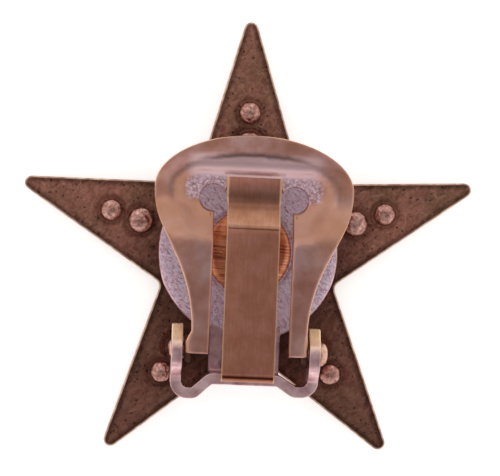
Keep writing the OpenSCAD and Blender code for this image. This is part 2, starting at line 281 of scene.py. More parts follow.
def cut_out(name, outline, low, high):
    """A flat blank: a ring of points drawn out to the outline, filled, and thickened from low to high."""
    bpy.ops.object.select_all(action="DESELECT")
    bpy.ops.mesh.primitive_circle_add(vertices=len(outline), radius=1, fill_type="NGON")
    blank = bpy.context.object
    blank.name = name
    for vertex, point in zip(blank.data.vertices, outline):
        vertex.co = (point.x, point.y, low)
    edit(blank)
    bpy.ops.mesh.select_all(action="SELECT")
    bpy.ops.mesh.extrude_region_move(TRANSFORM_OT_translate={"value": (0, 0, high - low)})
    bpy.ops.mesh.select_all(action="SELECT")
    bpy.ops.mesh.normals_make_consistent(inside=False)
    leave()
    return blank


def place(piece, matrix):
    """Puts a piece's own mesh where it belongs and leaves its object at the origin."""
    piece.data.transform(matrix @ piece.matrix_world)
    piece.matrix_world = Matrix.Identity(4)


def twin(piece, name, matrix):
    """A copy with its own mesh, moved by the matrix."""
    copied = piece.copy()
    copied.data = piece.data.copy()
    copied.name = name
    bpy.context.collection.objects.link(copied)
    copied.data.transform(matrix)
    return copied


def modify(piece, kind, **settings):
    """Adds one modifier and applies it."""
    bpy.ops.object.select_all(action="DESELECT")
    bpy.context.view_layer.objects.active = piece
    piece.select_set(True)
    step = piece.modifiers.new(kind.lower(), kind)
    for name, value in settings.items():
        setattr(step, name, value)
    bpy.ops.object.modifier_apply(modifier=step.name)


def combine(piece, others, how):
    """Cuts the others out of a piece, or makes them one with it."""
    for other in others:
        modify(piece, "BOOLEAN", operation=how, object=other, solver="EXACT", material_mode="TRANSFER")
        bpy.data.objects.remove(other)


def smooth(piece, degrees):
    """Smooth shading, with edges sharper than this left crisp."""
    bpy.ops.object.select_all(action="DESELECT")
    bpy.context.view_layer.objects.active = piece
    piece.select_set(True)
    bpy.ops.object.shade_smooth_by_angle(angle=math.radians(degrees))


def fix_on(piece, body, slot, *nodes):
    """Brings a finished piece from mm to metres and lets it ride on its body in place of its nodes."""
    place(piece, Matrix.Scale(MM, 4))
    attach(piece, body)
    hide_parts(*nodes)


def arm(number, distance, spin=0.0):
    """Where a stud stands: on one arm of the star, at its distance from the centre."""
    turn = math.radians(90 + 72 * (number - 1))
    return (star_frame @ Matrix.Rotation(turn, 4, "Z") @ Matrix.Translation((distance, 0, 0))
            @ Matrix.Rotation(spin, 4, "Z"))


# How far out an arm's sides would meet, so that its rounded tip ends at the star's own radius.
sharp_r = STAR_R
for _ in range(6):
    tip_half = math.atan2(NOTCH_R * math.sin(math.pi / 5), sharp_r - NOTCH_R * math.cos(math.pi / 5))
    sharp_r = STAR_R + TIP_ROUND * (1 / math.sin(tip_half) - 1)

# Oxidised copper, rolled and hand-finished: brown-black with a fine leathery grain, crossing scratches
# and small pits, redder where it is rubbed, darkest in the hollows and towards the middle.
oxidised_copper = new_material("oxidised rolled copper")
points = millimetres(oxidised_copper, star_centre / MM)
leather = add_node(oxidised_copper, "ShaderNodeTexNoise", {
    "Vector": stretched(oxidised_copper, points, math.radians(-50), (1.0, 1.35, 1.0)),
    "Scale": 1.9, "Detail": 7.0, "Roughness": 0.72, "Distortion": 1.1})
scratch = add_node(oxidised_copper, "ShaderNodeTexNoise", {
    "Vector": stretched(oxidised_copper, points, math.radians(35), (0.55, 7.0, 1.0)),
    "Scale": 1.5, "Detail": 3.0, "Roughness": 0.6})
scratch_line = add_node(oxidised_copper, "ShaderNodeValToRGB", {0: scratch.outputs[0]},
                        stops=[(0.56, 0.0), (0.64, 0.0), (0.67, 0.8), (0.70, 0.0)])
pits = add_node(oxidised_copper, "ShaderNodeTexVoronoi", {"Vector": points, "Scale": 2.3, "Randomness": 1.0})
pit = add_node(oxidised_copper, "ShaderNodeValToRGB", {0: pits.outputs["Distance"]},
               stops=[(0.0, 0.0), (0.12, 0.15), (0.24, 1.0)])
cloud = add_node(oxidised_copper, "ShaderNodeTexNoise", {"Vector": points, "Scale": 0.33, "Detail": 2.0})
grain_tint = add_node(oxidised_copper, "ShaderNodeValToRGB", {0: leather.outputs[0]},
                      stops=[(0.30, "#785247"), (0.46, "#a07567"), (0.60, "#b98b7c"), (0.74, "#d4a898")])
cloud_tint = add_node(oxidised_copper, "ShaderNodeValToRGB", {0: cloud.outputs[0]},
                      stops=[(0.35, "#d8d0c2"), (0.65, "#f6dfdb")])
tint = mixed(oxidised_copper, "MULTIPLY", 1.0, grain_tint.outputs[0], cloud_tint.outputs[0])
tint = mixed(oxidised_copper, "MULTIPLY", 0.75, tint, pit.outputs[0])
tint = mixed(oxidised_copper, "ADD", 0.16, tint, scratch_line.outputs[0])
span = add_node(oxidised_copper, "ShaderNodeVectorMath", {0: points}, operation="LENGTH")
middle = add_node(oxidised_copper, "ShaderNodeMapRange", {
    0: span.outputs["Value"], 1: 5.0, 2: 9.0, 3: 0.42, 4: 1.0}, interpolation_type="SMOOTHSTEP")
tint = mixed(oxidised_copper, "MULTIPLY", 1.0, tint, middle.outputs[0])
parts = add_node(oxidised_copper, "ShaderNodeSeparateXYZ", {0: points})
# Darker towards the bottom of the star, on its lower arms.
lower = add_node(oxidised_copper, "ShaderNodeMapRange", {
    0: parts.outputs["Y"], 1: -7.0, 2: 3.0, 3: 0.60, 4: 1.0})
tint = mixed(oxidised_copper, "MULTIPLY", 1.0, tint, lower.outputs[0])
hollow = add_node(oxidised_copper, "ShaderNodeMapRange", {
    0: parts.outputs["Z"], 1: plate_top - 0.25, 2: plate_top, 3: 0.80, 4: 0.96})
tint = mixed(oxidised_copper, "MULTIPLY", 1.0, tint, hollow.outputs[0])
# The distance in from the star's edge, from one arm's half folded over the other nine.
swing = add_node(oxidised_copper, "ShaderNodeMath", {
    0: parts.outputs["X"], 1: parts.outputs["Y"]}, operation="ARCTAN2")
folded = add_node(oxidised_copper, "ShaderNodeMath", {
    0: swing.outputs[0], 1: math.pi / 5}, operation="PINGPONG")
flat = add_node(oxidised_copper, "ShaderNodeCombineXYZ", {
    "X": parts.outputs["X"], "Y": parts.outputs["Y"]})
run = add_node(oxidised_copper, "ShaderNodeVectorMath", {0: flat.outputs[0]}, operation="LENGTH")
lean = add_node(oxidised_copper, "ShaderNodeMath", {0: folded.outputs[0], 1: tip_half}, operation="ADD")
fall = add_node(oxidised_copper, "ShaderNodeMath", {0: lean.outputs[0]}, operation="SINE")
reach = add_node(oxidised_copper, "ShaderNodeMath", {
    0: run.outputs["Value"], 1: fall.outputs[0]}, operation="MULTIPLY")
inward = add_node(oxidised_copper, "ShaderNodeMath", {
    0: sharp_r * math.sin(tip_half), 1: reach.outputs[0]}, operation="SUBTRACT")
ragged = add_node(oxidised_copper, "ShaderNodeMath", {
    0: leather.outputs[0], 1: 0.22, 2: inward.outputs[0]}, operation="MULTIPLY_ADD")
band = add_node(oxidised_copper, "ShaderNodeValToRGB", {0: ragged.outputs[0]},
                stops=[(0.12, 1.25), (0.20, 0.45), (0.36, 0.50), (0.60, 1.0)])
tint = mixed(oxidised_copper, "MULTIPLY", 1.0, tint, band.outputs[0])
relief = mixed(oxidised_copper, "ADD", 0.5, leather.outputs[0], scratch_line.outputs[0])
relief = mixed(oxidised_copper, "ADD", 0.6, relief, pit.outputs[0])
dull = add_node(oxidised_copper, "ShaderNodeMapRange", {
    0: leather.outputs[0], 1: 0.3, 2: 0.7, 3: 0.56, 4: 0.42})
bare_metal(oxidised_copper, tint, dull.outputs[0], relief, 0.035)

# Bare copper, worn through the dark finish on every edge: pale, smooth and bright.
worn_copper = new_material("worn bare copper edge")
points = millimetres(worn_copper, star_centre / MM)
rub = add_node(worn_copper, "ShaderNodeTexNoise", {"Vector": points, "Scale": 2.0, "Detail": 4.0})
rub_tint = add_node(worn_copper, "ShaderNodeValToRGB", {0: rub.outputs[0]},
                    stops=[(0.35, "#b48c7a"), (0.5, "#cfa893"), (0.65, "#e6c6b2")])
bare_metal(worn_copper, rub_tint.outputs[0], 0.42, rub.outputs[0], 0.02)

corners = [(NOTCH_R if i % 2 else sharp_r) * Vector((-math.sin(math.pi / 5 * i), math.cos(math.pi / 5 * i)))
           for i in range(10)]
star = cut_out("star_back_plate", rounded(corners, [TIP_ROUND, NOTCH_ROUND] * 5), plate_low, plate_top)
star.data.materials.append(oxidised_copper)
star.data.materials.append(worn_copper)
edit(star)
pick(star, "EDGE", lambda e: abs(e.verts[0].co.z - e.verts[1].co.z) < 0.5)
bpy.ops.mesh.bevel(offset=RIM_WEAR, segments=2, affect="EDGES", material=1)
pick(star, "FACE", lambda f: abs(f.normal.z) < 0.1)
for face in bmesh.from_edit_mesh(star.data).faces:
    if face.select:
        face.material_index = 1
bpy.ops.mesh.select_all(action="SELECT")
bpy.ops.mesh.normals_make_consistent(inside=False)
leave()
place(star, star_frame)

# Each hollow is sunk with a round cutter that leaves a soft lip.
for ring, lip in ((INNER_RING, 1.10), (OUTER_RING, 0.97)):
    cutter = turned("hollow_cutter", [
        (lip - 0.20, plate_top - 0.17), (lip - 0.10, plate_top - 0.14), (lip, plate_top - 0.09),
        (lip + 0.10, plate_top - 0.045), (lip + 0.20, plate_top - 0.015), (lip + 0.28, plate_top + 0.01),
        (lip + 0.28, plate_top + 0.5)], 36)
    cutter.data.materials.append(oxidised_copper)
    hollows = [twin(cutter, "hollow", arm(number, ring)) for number in range(1, 6)]
    bpy.data.objects.remove(cutter)
    combine(star, hollows, "DIFFERENCE")
smooth(star, 32)
modify(star, "WEIGHTED_NORMAL", keep_sharp=True)
fix_on(star, "star", "star_copper", "star_plate")

# ------------------------------------------------------------ Studs
# Ten copper rivets dress the front with domed heads. Each tail is peened over in its hollow at the
# back with a few blows, so it is a lumpy polished dome. The five inner ones are a little larger.

# Peened copper: burnished by the hammer, warm and rosy, with shallow dents, and painted shade darkening each
# tail low down in its hollow.
peened_copper = new_material("peened copper")
points = millimetres(peened_copper, star_centre / MM)
dents = add_node(peened_copper, "ShaderNodeTexVoronoi", {
    "Vector": points, "Scale": 1.25, "Smoothness": 0.8}, feature="SMOOTH_F1")
fine = add_node(peened_copper, "ShaderNodeTexNoise", {"Vector": points, "Scale": 5.0, "Detail": 3.0})
stud_tint = add_node(peened_copper, "ShaderNodeValToRGB", {0: fine.outputs[0]},
                     stops=[(0.30, "#93655a"), (0.50, "#be8c80"), (0.70, "#e0b4aa")])
parts = add_node(peened_copper, "ShaderNodeSeparateXYZ", {0: points})
# Painted shade: each tail is darker low down in its hollow; the heads on the front are left out of it.
foot_shade = add_node(peened_copper, "ShaderNodeMapRange", {
    0: parts.outputs["Z"], 1: plate_top - 0.22, 2: plate_top + 0.12, 3: 0.5, 4: 1.0})
front = add_node(peened_copper, "ShaderNodeMapRange", {
    0: parts.outputs["Z"], 1: plate_low, 2: plate_low + 0.05, 3: 1.0, 4: 0.0})
lit = mixed(peened_copper, "MIX", front.outputs[0], foot_shade.outputs[0], (1, 1, 1, 1))
tint = mixed(peened_copper, "MULTIPLY", 1.0, stud_tint.outputs[0], lit)
relief = mixed(peened_copper, "ADD", 0.15, dents.outputs["Distance"], fine.outputs[0])
bare_metal(peened_copper, tint, 0.27, relief, 0.055)


def stud(name, head_r, tail_r):
    """A stud at the origin: domed head in front, shank, and a peened tail hammered out of round."""
    head, tail = plate_low, plate_top - 0.30
    piece = turned(name, [
        (head_r * 0.28, 0.01), (head_r * 0.62, 0.09), (head_r * 0.88, 0.27), (head_r, 0.50), (head_r, head),
        (0.5, head), (0.5, tail), (tail_r * 0.93, tail), (tail_r, tail + 0.18), (tail_r * 0.97, tail + 0.36),
        (tail_r * 0.84, tail + 0.58), (tail_r * 0.60, tail + 0.73), (tail_r * 0.28, tail + 0.80)], 14)
    piece.data.materials.append(peened_copper)
    edit(piece)
    pick(piece, "VERT", lambda v: v.co.z > tail + 0.1)
    bpy.ops.transform.vertex_random(offset=0.075, seed=4)
    leave()
    modify(piece, "SUBSURF", levels=2, render_levels=2)
    smooth(piece, 60)
    return piece


for ring, distance, head_r, tail_r in (
        ("inner", INNER_RING, 1.1, 0.9), ("outer", OUTER_RING, 0.85, 0.77)):
    pattern = stud("stud_pattern", head_r, tail_r)
    for number in range(1, 6):
        name = f"{ring}_stud_{number}"
        copied = twin(pattern, "peened_" + name, arm(number, distance, number * 2.4 + distance))
        fix_on(copied, "star", "stud_copper", name)
    bpy.data.objects.remove(pattern)

# ------------------------------------------------------------ Solder
# A thin layer of soft solder holds the clip's disc on the star; it has crept out into a low, uneven
# fillet under the disc's edge.
SOLDER_R = 5.4
clip_joint = next(joint for joint in frame["joints"] if joint["name"] == "paddle_hinge")
clip_turn = math.atan2(clip_joint["axis"][1], clip_joint["axis"][0])
hinge = Vector(clip_joint["pos_m"]) / MM
clip_frame = Matrix.Translation((hinge.x, hinge.y, 0)) @ Matrix.Rotation(clip_turn, 4, "Z")
DISC_Y = 6.26

# Soft solder: cast where it flowed, grey and satiny, slightly crazed.
soft_solder = new_material("soft solder")
points = millimetres(soft_solder, hinge)
flow = add_node(soft_solder, "ShaderNodeTexNoise", {"Vector": points, "Scale": 1.8, "Detail": 5.0})
solder_tint = add_node(soft_solder, "ShaderNodeValToRGB", {0: flow.outputs[0]},
                       stops=[(0.35, "#5d5754"), (0.65, "#a39d99")])
bare_metal(soft_solder, solder_tint.outputs[0], 0.4, flow.outputs[0], 0.06)

solder = turned("solder_fillet", [
    (SOLDER_R + 0.16, plate_top), (SOLDER_R + 0.12, plate_top + 0.03), (SOLDER_R + 0.03, plate_top + 0.06),
    (SOLDER_R, plate_top + 0.10)], 90)
solder.data.materials.append(soft_solder)
edit(solder)
pick(solder, "VERT", lambda v: v.co.z < plate_top + 0.05)
bpy.ops.transform.vertex_random(offset=0.03, seed=2)
pick(solder, "VERT", lambda v: v.co.z < plate_top + 0.05)
bpy.ops.transform.resize(value=(1, 1, 0.6), center_override=(0, 0, plate_top + 0.04))
leave()
smooth(solder, 50)
place(solder, clip_frame @ Matrix.Translation((0, DISC_Y, 0)))
fix_on(solder, "star", "solder", "solder_layer")

# ------------------------------------------------------------- Clip base
# One copper stamping: a disc with a raised round pad for the ear, a neck from its lower edge, and a
# bent-up bracket whose two ears carry the hinge. The disc keeps its rough plating; the pad is buffed.
BASE_T = 0.7
DISC_R = 5.75
BOSS_R = 2.7
NECK_W = 4.5
EAR_X = 4.315
CROSSBAR_Y = -1.80
BRACKET_LOW = 2.45
BRACKET_TOP = 4.6
EAR_FREE_Y = 1.57
EAR_TOP = 5.75
LOBE_W = 1.15
LOBE_DROP = 0.65
LEFT_LOBE_EXTRA = 0.3
base_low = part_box("clip_base")[0].z / MM


def drawn_strip(name, edge, path):
    """A sheet without thickness: one edge, drawn on step by step along a path of points."""
    bpy.ops.object.select_all(action="DESELECT")
    bpy.ops.mesh.primitive_plane_add(size=1)
    piece = bpy.context.object
    piece.name = name
    edit(piece)
    pick(piece, "VERT", lambda v: v.co.y > 0)
    bpy.ops.mesh.delete(type="VERT")
    for vertex, end in zip(bmesh.from_edit_mesh(piece.data).verts, edge):
        vertex.co = Vector(end) + Vector(path[0])
    bpy.ops.mesh.select_all(action="SELECT")
    for here, there in zip(path, path[1:]):
        bpy.ops.mesh.extrude_region_move(
            TRANSFORM_OT_translate={"value": tuple(Vector(there) - Vector(here))})
    leave()
    return piece


def height_at(profile, y):
    """The height of a side profile, given as (y, z) points in order of y, at one y."""
    for (y0, z0), (y1, z1) in zip(profile, profile[1:]):
        if y <= y1:
            return z0 + (z1 - z0) * max(0.0, y - y0) / (y1 - y0)
    return profile[-1][1]


# As-plated copper: a matt lilac bloom over a crystalline, streaky surface that was never polished.
plated_copper = new_material("as-plated copper")
points = millimetres(plated_copper, hinge, -clip_turn)
crystals = add_node(plated_copper, "ShaderNodeTexNoise", {
    "Vector": stretched(plated_copper, points, math.radians(40), (1.0, 2.4, 1.0)),
    "Scale": 3.4, "Detail": 6.0, "Roughness": 0.75, "Distortion": 0.8})
plated_tint = add_node(plated_copper, "ShaderNodeValToRGB", {0: crystals.outputs[0]},
                       stops=[(0.34, "#7c5468"), (0.42, "#deb2c8"), (0.50, "#fcdaec"), (0.58, "#fff0fc")])
bare_metal(plated_copper, plated_tint.outputs[0], 0.40, crystals.outputs[0], 0.20, metallic=0.50)

# Buffed copper: the pad where the ear rests, orange and glossy with fine lines across it.
buffed_copper = new_material("buffed copper")
points = millimetres(buffed_copper, hinge, -clip_turn)
lines = add_node(buffed_copper, "ShaderNodeTexNoise", {
    "Vector": stretched(buffed_copper, points, math.radians(4), (0.35, 7.0, 1.0)),
    "Scale": 1.3, "Detail": 4.0, "Roughness": 0.7})
buffed_tint = add_node(buffed_copper, "ShaderNodeValToRGB", {0: lines.outputs[0]},
                       stops=[(0.36, "#84462e"), (0.50, "#cc7e5a"), (0.66, "#eaa684")])
bare_metal(buffed_copper, buffed_tint.outputs[0], 0.26, lines.outputs[0], 0.03)

# Tumbled copper: bracket and disc rim, smooth and softly bright, lilac-pink, with faint ripples, and a
# painted pale gold highlight on the ears' upper parts towards their free ends.
tumbled_copper = new_material("tumbled copper")
points = millimetres(tumbled_copper, hinge, -clip_turn)
ripple = add_node(tumbled_copper, "ShaderNodeTexNoise", {
    "Vector": points, "Scale": 1.1, "Detail": 4.0, "Roughness": 0.6})
tumbled_tint = add_node(tumbled_copper, "ShaderNodeValToRGB", {0: ripple.outputs[0]},
                        stops=[(0.34, "#bc9096"), (0.50, "#d8aeb0"), (0.66, "#ecc8c8")])
parts = add_node(tumbled_copper, "ShaderNodeSeparateXYZ", {0: points})
# A painted highlight: pale gold on the ears' upper parts, growing towards their free ends.
toward_free_end = add_node(tumbled_copper, "ShaderNodeMapRange", {
    0: parts.outputs["Y"], 1: 0.0, 2: 1.0, 3: 0.0, 4: 0.95})
raised = add_node(tumbled_copper, "ShaderNodeMapRange", {
    0: parts.outputs["Z"], 1: -1.6, 2: -0.8, 3: 0.0, 4: 1.0})
free_end_highlight = add_node(tumbled_copper, "ShaderNodeMath", {0: toward_free_end.outputs[0], 1: raised.outputs[0]},
                  operation="MULTIPLY")
tint = mixed(tumbled_copper, "MIX", free_end_highlight.outputs[0], tumbled_tint.outputs[0], linear("#ffe2b8"))
bare_metal(tumbled_copper, tint, 0.30, ripple.outputs[0], 0.05)

disc_top = base_low + BASE_T
disc = turned("clip_base_stamping", [
    (DISC_R - 0.08, base_low), (DISC_R, base_low + 0.06), (DISC_R, base_low + 0.30),
    (DISC_R - 0.04, base_low + 0.48), (DISC_R - 0.13, base_low + 0.58), (DISC_R - 0.27, base_low + 0.65),
    (DISC_R - 0.42, base_low + 0.69), (DISC_R - 0.60, disc_top), (BOSS_R + 0.34, disc_top),
    (BOSS_R + 0.24, disc_top - 0.03), (BOSS_R + 0.12, disc_top - 0.11), (BOSS_R + 0.03, disc_top - 0.06),
    (BOSS_R - 0.05, disc_top + 0.12), (BOSS_R - 0.22, disc_top + 0.26), (BOSS_R - 0.50, disc_top + 0.345),
    (BOSS_R - 0.95, disc_top + 0.40), (1.2, disc_top + 0.45), (0.5, disc_top + 0.45)], 96)
for surface in (plated_copper, buffed_copper, tumbled_copper):
    disc.data.materials.append(surface)
for face in disc.data.polygons:
    span = face.center.xy.length
    face.material_index = 1 if span < BOSS_R + 0.02 and face.center.z > disc_top - 0.2 else (
        2 if span > DISC_R - 0.20 else 0)
place(disc, Matrix.Translation((0, DISC_Y, 0)))

neck_z = base_low + BASE_T / 2
neck_line = rounded(
    [(DISC_Y - BOSS_R - 1, neck_z), (CROSSBAR_Y, neck_z), (CROSSBAR_Y, BRACKET_LOW + 0.25)],
    [0, 0.55, 0], 8, closed=False)
neck = drawn_strip("neck", [(-NECK_W / 2, 0, 0), (NECK_W / 2, 0, 0)], [(0, p.x, p.y) for p in neck_line])

# The ears rise over the hinge and slope down to their free ends; the rest stands level. The lobe on
# the left dips a little lower than the one on the right.
ear_profile = [(p.x, p.y) for p in rounded(
    [(CROSSBAR_Y, 4.5), (-0.95, EAR_TOP), (0.35, EAR_TOP), (EAR_FREE_Y, 4.55)], [0, 0.7, 0.7, 0], 8,
    closed=False)]
ear_stations = [EAR_FREE_Y] + [round(1.5 - 0.1 * k, 2) for k in range(12)] + [0.25, 0.0, -0.3, -0.6, -0.75]
ear_stations += [round(-0.85 - 0.1 * k, 2) for k in range(9)]
low_y = CROSSBAR_Y - LOBE_DROP
left_low_y = low_y - LEFT_LOBE_EXTRA
bar_x, lobe_x = NECK_W / 2 - 0.1, EAR_X - LOBE_W
bends = rounded([(-EAR_X, -1.68), (-EAR_X, left_low_y), (-lobe_x, left_low_y), (-bar_x, CROSSBAR_Y),
                 (bar_x, CROSSBAR_Y), (lobe_x, low_y), (EAR_X, low_y), (EAR_X, -1.68)],
                [0, 0.75, 0.45, 0.55, 0.55, 0.45, 0.75, 0], 8, closed=False)
plan = ([Vector((-EAR_X, y)) for y in ear_stations] + bends
        + [Vector((EAR_X, y)) for y in reversed(ear_stations)])
bracket = drawn_strip("bracket", [(0, 0, 0), (0, 0, BRACKET_TOP - BRACKET_LOW)],
                      [(p.x, p.y, BRACKET_LOW) for p in plan])
for vertex in bracket.data.vertices:
    if vertex.co.z > 3 and abs(vertex.co.x) > EAR_X - 0.01 and vertex.co.y > CROSSBAR_Y:
        level = BRACKET_TOP if vertex.co.y < 0.97 else 0
        vertex.co.z = max(level, height_at(ear_profile, vertex.co.y))
for part, softness in ((neck, 0.10), (bracket, 0.29)):
    part.data.materials.append(tumbled_copper)
    modify(part, "WELD", merge_threshold=0.005)
    modify(part, "SOLIDIFY", thickness=BASE_T, offset=0, use_even_offset=True)
    edit(part)
    bpy.ops.mesh.select_all(action="SELECT")
    bpy.ops.mesh.normals_make_consistent(inside=False)
    leave()
    modify(part, "BEVEL", width=softness, segments=3, limit_method="ANGLE", angle_limit=math.radians(50))
combine(disc, [neck, bracket], "UNION")
smooth(disc, 40)
modify(disc, "WEIGHTED_NORMAL", keep_sharp=True)
place(disc, clip_frame)
fix_on(disc, "star", "clip_copper", "clip_base")

# ---------------------------------------------------------- Hinge rivets
# Two short rivets hold the paddle's flanges to the ears: the right one shows a domed head outside its
# ear, and the left one is peened almost flush. Each shank ends inside its flange.
FLANGE_INSIDE = 3.435
EAR_OUTSIDE = 4.665
SHANK_R = 0.40

# Headed copper wire: cold-formed and burnished, paler than the stampings.
headed_copper = new_material("headed copper wire")
points = millimetres(headed_copper, hinge, -clip_turn)
wrinkle = add_node(headed_copper, "ShaderNodeTexNoise", {"Vector": points, "Scale": 3.0, "Detail": 3.0})
headed_tint = add_node(headed_copper, "ShaderNodeValToRGB", {0: wrinkle.outputs[0]},
                       stops=[(0.35, "#c08f78"), (0.65, "#e6bda4")])
bare_metal(headed_copper, headed_tint.outputs[0], 0.28, wrinkle.outputs[0], 0.03)

heads = {
    "right": [(0.70, 0.0), (0.74, 0.08), (0.72, 0.20), (0.63, 0.33), (0.46, 0.43), (0.24, 0.49)],
    "left": [(0.50, 0.0), (0.52, 0.03), (0.46, 0.08), (0.32, 0.11), (0.16, 0.13)],
}
for side, turn in (("right", 90), ("left", -90)):
    rivet = turned("headed_rivet_" + side, [(SHANK_R - 0.03, FLANGE_INSIDE), (SHANK_R, FLANGE_INSIDE + 0.03),
                   (SHANK_R, EAR_OUTSIDE)] + [(r, EAR_OUTSIDE + h) for r, h in heads[side]], 32)
    rivet.data.materials.append(headed_copper)
    smooth(rivet, 50)
    place(rivet, clip_frame @ Matrix.Translation((0, 0, hinge.z))
          @ Matrix.Rotation(math.radians(turn), 4, "Y"))
    fix_on(rivet, "star", "rivet_copper", "hinge_rivet_" + side)

# ---------------------------------------------------------------- Paddle
# The paddle presses behind the ear lobe: a rounded head with a raised rim and a sunk middle, stamped
# with its two legs from one sheet. Its slots end in round holes, and a flange hangs from each leg.
PADDLE_T = 0.5
RIM_H = 0.45
PADDLE_TOP = 13.6
PADDLE_SHIFT = 0.15
WIDE_X, WIDE_Y = 6.3, 10.15
LEG_X = 3.625
FLANGE_X = 3.885
LEG_END = -0.225
WINDOW_X = 2.48
HOLE_X, HOLE_Y = 2.58, 9.60
HOLE_R = 0.83
LEG_Z = 5.25
HEAD_Z = 3.95
GRID = 0.3
FOOT_W = 1.2
BROW_W = 1.25
BROW_DROP = 0.20
CROWN_DROP = 0.14
FOLD_R = 0.45
EDGE_R = 0.16
FLANGE_R = 0.90
PIN_HOLE_R = 0.45
ROOT_X = 1.68

# The outline, in the paddle's own middle: two sides, and a half oval over the head. The flanges stand
# where the ears are, and the rest of the paddle sits a little to the right of them.
sides = [rounded([(WIDE_X, WIDE_Y), (WIDE_X, WIDE_Y - 1.25), (LEG_X + 0.07, 3.63), (LEG_X, 1.2),
                  (flange, 0.4), (flange, LEG_END)], [0, 5.3, 10, 0, 0, 0], 14, closed=False)
         for flange in (FLANGE_X + PADDLE_SHIFT, FLANGE_X - PADDLE_SHIFT)]
crown = [Vector((-WIDE_X * math.cos(a), WIDE_Y + (PADDLE_TOP - WIDE_Y) * math.sin(a)))
         for a in [math.radians(5 * k) for k in range(1, 36)]]
outer_line = [Vector((-p.x, p.y)) for p in reversed(sides[0])] + crown + sides[1]
hole_arc = [Vector((HOLE_X + HOLE_R * math.cos(a), HOLE_Y + HOLE_R * math.sin(a)))
            for a in [math.radians(-97 + 13.2 * k) for k in range(20)]]
inner_half = [Vector((WINDOW_X, y)) for y in (LEG_END, 4.0, 8.6)] + hole_arc + [
    Vector((ROOT_X, y)) for y in (10.3, 10.86)]
inner_line = inner_half + [Vector((-p.x, p.y)) for p in reversed(inner_half)]
side_profile = [(p.x, p.y) for p in rounded(
    [(-2, LEG_Z), (7.1, LEG_Z - 0.05), (HOLE_Y - 0.3, HEAD_Z), (PADDLE_TOP + 1, HEAD_Z - 0.2)],
    [0, 2, 1.5, 0], 10, closed=False)]
sunk_half = [(4.1, 10.95), (4.15, 9.8), (3.45, 8.35), (2.3, 7.9)]
sunk_line = rounded(sunk_half + [(-x, y) for x, y in reversed(sunk_half)],
                    [0.5, 1.2, 0.6, 0, 0, 0.6, 1.2, 0.5])


def gap_to(line, x, y):
    """The shortest distance in plan from a point to a line of points."""
    best = 1e9
    for (ax, ay), (bx, by) in zip(line, line[1:]):
        dx, dy = bx - ax, by - ay
        t = max(0.0, min(1.0, ((x - ax) * dx + (y - ay) * dy) / max(dx * dx + dy * dy, 1e-12)))
        best = min(best, (x - ax - dx * t) ** 2 + (y - ay - dy * t) ** 2)
    return math.sqrt(best)


def within(line, x, y):
    """Whether a point lies inside a closed plan outline."""
    odd = False
    for (ax, ay), (bx, by) in zip(line, line[1:]):
        if (ay > y) != (by > y) and x < (bx - ax) * (y - ay) / (by - ay) + ax:
            odd = not odd
    return odd


def eased(t):
    """A smooth step from 0 to 1."""
    t = max(0.0, min(1.0, t))
    return t * t * (3 - 2 * t)


def sunk_at(x, y):
    """How far the sheet is pressed down: 1 on the sunk floor, 0 on the rim; steepest at its upper edge."""
    if within(sunk_loop, x, y):
        return 1.0
    return 1 - eased(gap_to(sunk_loop, x, y) / (FOOT_W * (1 - 0.5 * eased((y - 10.6) / 0.3))))


def sheet_top(x, y):
    """The height of the pressed sheet's upper face before its edges are rounded."""
    crest = eased((y - 11.5) / 1.3)
    brow = eased(max(0.0, 1 - gap_to(outer_loop, x, y) / BROW_W) * 0.8) * eased((y - 3.0) / 4.0)
    folded = eased((1.2 - y) / 0.5) * max(0.0, min(FOLD_R, abs(x + PADDLE_SHIFT) - FLANGE_INSIDE))
    fold = FOLD_R - math.sqrt(FOLD_R ** 2 - folded ** 2)
    drop = RIM_H * sunk_at(x, y) + (BROW_DROP + CROWN_DROP * crest) * brow + fold
    return height_at(side_profile, y) + PADDLE_T / 2 + RIM_H - drop


def slope_at(x, y):
    """How steeply the sheet's upper face lies at a point."""
    across = sheet_top(x + 0.1, y) - sheet_top(x - 0.1, y)
    along = sheet_top(x, y + 0.1) - sheet_top(x, y - 0.1)
    return math.hypot(across, along) / 0.2


outer_loop = [(p.x, p.y) for p in outer_line]
whole_loop = [(p.x, p.y) for p in outer_line + inner_line + outer_line[:1]]
sunk_loop = [(p.x, p.y) for p in sunk_line + sunk_line[:1]]

# Pressed and tumbled copper: a thin pinkish-brown finish, with a painted gold highlight where the sheet
# slopes and a painted pale highlight on the flat ledge over the sunk floor. The sunk corners keep their
# rough lilac plating, and a thin painted highlight runs along every edge.
pressed_copper = new_material("pressed copper sheet")
points = millimetres(pressed_copper, hinge, -clip_turn)
sunk = add_node(pressed_copper, "ShaderNodeAttribute", attribute_name="sunk")
slope_highlight = add_node(pressed_copper, "ShaderNodeAttribute", attribute_name="slope_highlight")
shelf_highlight = add_node(pressed_copper, "ShaderNodeAttribute", attribute_name="shelf_highlight")
edge_highlight = add_node(pressed_copper, "ShaderNodeAttribute", attribute_name="edge_highlight")
haze = add_node(pressed_copper, "ShaderNodeTexNoise", {
    "Vector": points, "Scale": 0.5, "Detail": 3.0, "Roughness": 0.55})
grit = add_node(pressed_copper, "ShaderNodeTexNoise", {
    "Vector": points, "Scale": 6.0, "Detail": 5.0, "Roughness": 0.7})
speck = add_node(pressed_copper, "ShaderNodeTexVoronoi", {"Vector": points, "Scale": 1.15})
speck_mask = add_node(pressed_copper, "ShaderNodeValToRGB", {0: speck.outputs["Distance"]},
                      stops=[(0.03, 0.35), (0.07, 1.0)])
haze_tint = add_node(pressed_copper, "ShaderNodeValToRGB", {0: haze.outputs[0]},
                     stops=[(0.36, "#a87464"), (0.50, "#b7857a"), (0.64, "#c29892")])
rough_tint = add_node(pressed_copper, "ShaderNodeValToRGB", {0: grit.outputs[0]},
                      stops=[(0.34, "#8e6c74"), (0.46, "#c4a4b2"), (0.60, "#e8cede")])
